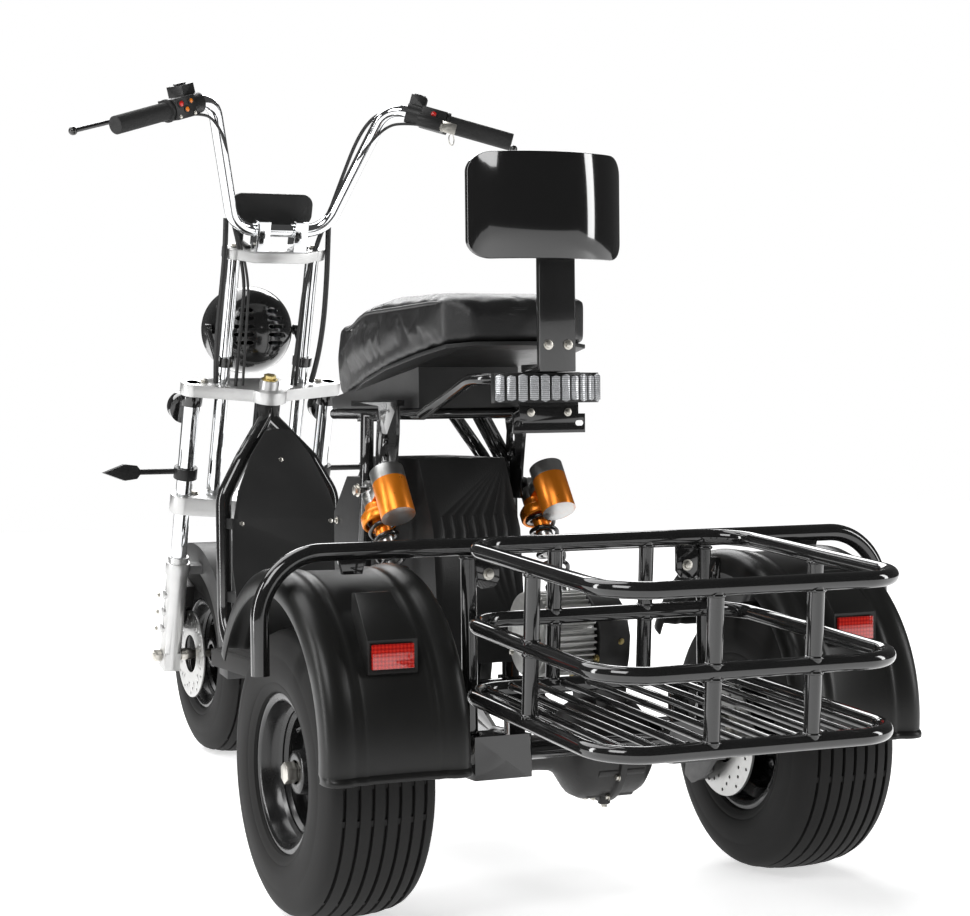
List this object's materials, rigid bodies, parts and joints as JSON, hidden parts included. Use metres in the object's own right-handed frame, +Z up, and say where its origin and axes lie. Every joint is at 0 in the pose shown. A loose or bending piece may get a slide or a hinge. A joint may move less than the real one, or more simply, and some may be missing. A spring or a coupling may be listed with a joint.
{
  "type": "adult tricycle",
  "caption": "Electric adult tricycle with one sprung front wheel, two driven rear wheels, a padded seat with backrest and a tubular cargo basket behind.",
  "frame": {"origin": "on the ground under the middle of the machine's outline", "axes": "+Z up, front wheel towards -Y, +X towards the rider's left"},
  "size_m": [1.007, 2.266, 1.2926],
  "materials": {
    "frame_black": "gloss black enamel",
    "tyre_rubber": "matte moulded rubber",
    "rim_black": "satin black cast wheel",
    "chrome": "polished chrome",
    "cast_silver": "satin silver cast",
    "plastic_matte": "fine grained black plastic",
    "plastic_gloss": "gloss black plastic",
    "plastic_grey": "dark grey plastic",
    "grip_rubber": "ribbed rubber",
    "seat_skin": "black vinyl",
    "clear_lens": "clear ribbed lens",
    "reflector_red": "red reflector",
    "shock_orange": "orange anodised",
    "spring_steel": "black spring",
    "motor_silver": "cast fins",
    "drive_cast": "black painted casting",
    "steel": "bare steel",
    "battery_plastic": "sealed pack"
  },
  "bodies": {
    "frame": {"frame_main": "frame_black", "pivot_bolt": "steel", "floor_plate": "frame_black", "front_cover": "plastic_matte", "battery_case": "plastic_matte", "battery_pack": "battery_plastic", "side_covers": "plastic_grey", "backrest_post": "frame_black", "backrest_shell": "plastic_gloss", "backrest_pad": "seat_skin", "tail_light_housing": "plastic_matte", "tail_light_lens": "clear_lens", "plate_bracket": "frame_black"},
    "steering": {"lower_clamp": "cast_silver", "mid_clamp": "cast_silver", "top_clamp": "cast_silver", "stanchions": "chrome", "riser_tubes": "chrome", "handlebar": "chrome", "bar_clamps": "chrome", "grip_left": "grip_rubber", "controls_left": "plastic_matte", "controls_right": "plastic_matte", "headlight_shell": "plastic_gloss", "headlight_lens": "clear_lens", "headlight_bracket": "steel", "visor": "plastic_matte", "turn_signals": "plastic_matte", "horns": "plastic_gloss"},
    "brake_lever_left": {"brake_lever_left": "drive_cast"},
    "brake_lever_right": {"brake_lever_right": "drive_cast"},
    "throttle": {"throttle_grip": "grip_rubber"},
    "key": {"key": "steel"},
    "fork_lower": {"slider_left": "cast_silver", "slider_right": "cast_silver", "front_axle": "steel", "front_fender": "plastic_matte", "front_caliper": "drive_cast"},
    "front_wheel": {"rim_front": "rim_black", "tyre_front": "tyre_rubber"},
    "rear_carrier": {"swing_arm": "frame_black", "differential": "drive_cast", "motor": "motor_silver", "rear_calipers": "drive_cast", "rear_fenders": "plastic_grey", "rear_reflectors": "reflector_red", "grab_bar": "frame_black", "basket": "frame_black"},
    "rear_wheel_left": {"rim_rear_left": "rim_black", "tyre_rear_left": "tyre_rubber"},
    "rear_wheel_right": {"rim_rear_right": "rim_black", "tyre_rear_right": "tyre_rubber"},
    "shock_left_body": {"shock_left_upper": "shock_orange", "shock_left_spring": "spring_steel"},
    "shock_left_rod": {"shock_left_lower": "steel"},
    "shock_right_body": {"shock_right_upper": "shock_orange", "shock_right_spring": "spring_steel"},
    "shock_right_rod": {"shock_right_lower": "steel"},
    "seat": {"seat_base": "plastic_matte", "seat_cushion": "seat_skin"}
  },
  "joints": [
    {"name": "steering", "type": "hinge", "parent": "frame", "child": "steering", "pos_m": [0, -0.74815, 0.61707], "axis": [0, 0.309, 0.9511], "range_deg": [-35, 35]},
    {"name": "fork_travel", "type": "slide", "parent": "steering", "child": "fork_lower", "axis": [0, 0.309, 0.9511], "range_m": [-0.008, 0.045], "stiffness_N_per_m": 9000, "springref_m": -0.03},
    {"name": "front_wheel_spin", "type": "hinge", "parent": "fork_lower", "child": "front_wheel", "pos_m": [0, -0.93001, 0.203], "axis": [1, 0, 0], "continuous": true},
    {"name": "brake_lever_left_pull", "type": "hinge", "parent": "steering", "child": "brake_lever_left", "pos_m": [0.2361, -0.52444, 1.25351], "axis": [0.2556, 0.1217, 0.9591], "range_deg": [0, 16], "stiffness_Nm_per_rad": 1.5, "springref_deg": -17.19},
    {"name": "brake_lever_right_pull", "type": "hinge", "parent": "steering", "child": "brake_lever_right", "pos_m": [-0.2361, -0.52444, 1.25351], "axis": [0.2556, -0.1217, -0.9591], "range_deg": [0, 16], "stiffness_Nm_per_rad": 1.5, "springref_deg": -17.19},
    {"name": "throttle_twist", "type": "hinge", "parent": "steering", "child": "throttle", "pos_m": [-0.38, -0.40501, 1.2], "axis": [-0.866, 0.4122, -0.2831], "range_deg": [0, 70], "stiffness_Nm_per_rad": 0.4, "springref_deg": -17.19},
    {"name": "key_turn", "type": "hinge", "parent": "steering", "child": "key", "pos_m": [-0.25415, -0.42614, 1.2258], "axis": [-0.866, 0.4122, -0.2831], "range_deg": [0, 90]},
    {"name": "rear_suspension", "type": "hinge", "parent": "frame", "child": "rear_carrier", "pos_m": [0, 0.15, 0.24], "axis": [1, 0, 0], "range_deg": [-2.5, 6], "stiffness_Nm_per_rad": 3000, "springref_deg": -3.44},
    {"name": "rear_wheel_left_spin", "type": "hinge", "parent": "rear_carrier", "child": "rear_wheel_left", "pos_m": [0.363, 0.56999, 0.203], "axis": [1, 0, 0], "continuous": true},
    {"name": "rear_wheel_right_spin", "type": "hinge", "parent": "rear_carrier", "child": "rear_wheel_right", "pos_m": [-0.363, 0.56999, 0.203], "axis": [1, 0, 0], "continuous": true},
    {"name": "seat_tilt", "type": "hinge", "parent": "frame", "child": "seat", "pos_m": [0, -0.15, 0.69], "axis": [1, 0, 0], "range_deg": [0, 60]},
    {"name": "shock_left_swing", "type": "hinge", "parent": "frame", "child": "shock_left_body", "pos_m": [0.138, 0.171, 0.571], "axis": [1, 0, 0], "range_deg": [-1.28, 0.56]},
    {"name": "shock_left_travel", "type": "slide", "parent": "shock_left_body", "child": "shock_left_rod", "axis": [0, -0.5732, 0.8194], "range_m": [-0.00925, 0.02178], "deforming": ["shock_left_spring"]},
    {"name": "shock_right_swing", "type": "hinge", "parent": "frame", "child": "shock_right_body", "pos_m": [-0.138, 0.171, 0.571], "axis": [1, 0, 0], "range_deg": [-1.28, 0.56]},
    {"name": "shock_right_travel", "type": "slide", "parent": "shock_right_body", "child": "shock_right_rod", "axis": [0, -0.5732, 0.8194], "range_m": [-0.00925, 0.02178], "deforming": ["shock_right_spring"]}
  ],
  "couplings": [
    {"joint": "shock_left_swing", "follows": "rear_suspension", "ratio": -0.2057},
    {"joint": "shock_left_travel", "follows": "rear_suspension", "m_per_rad": 0.20513},
    {"joint": "shock_right_swing", "follows": "rear_suspension", "ratio": -0.2057},
    {"joint": "shock_right_travel", "follows": "rear_suspension", "m_per_rad": 0.20513}
  ]
}
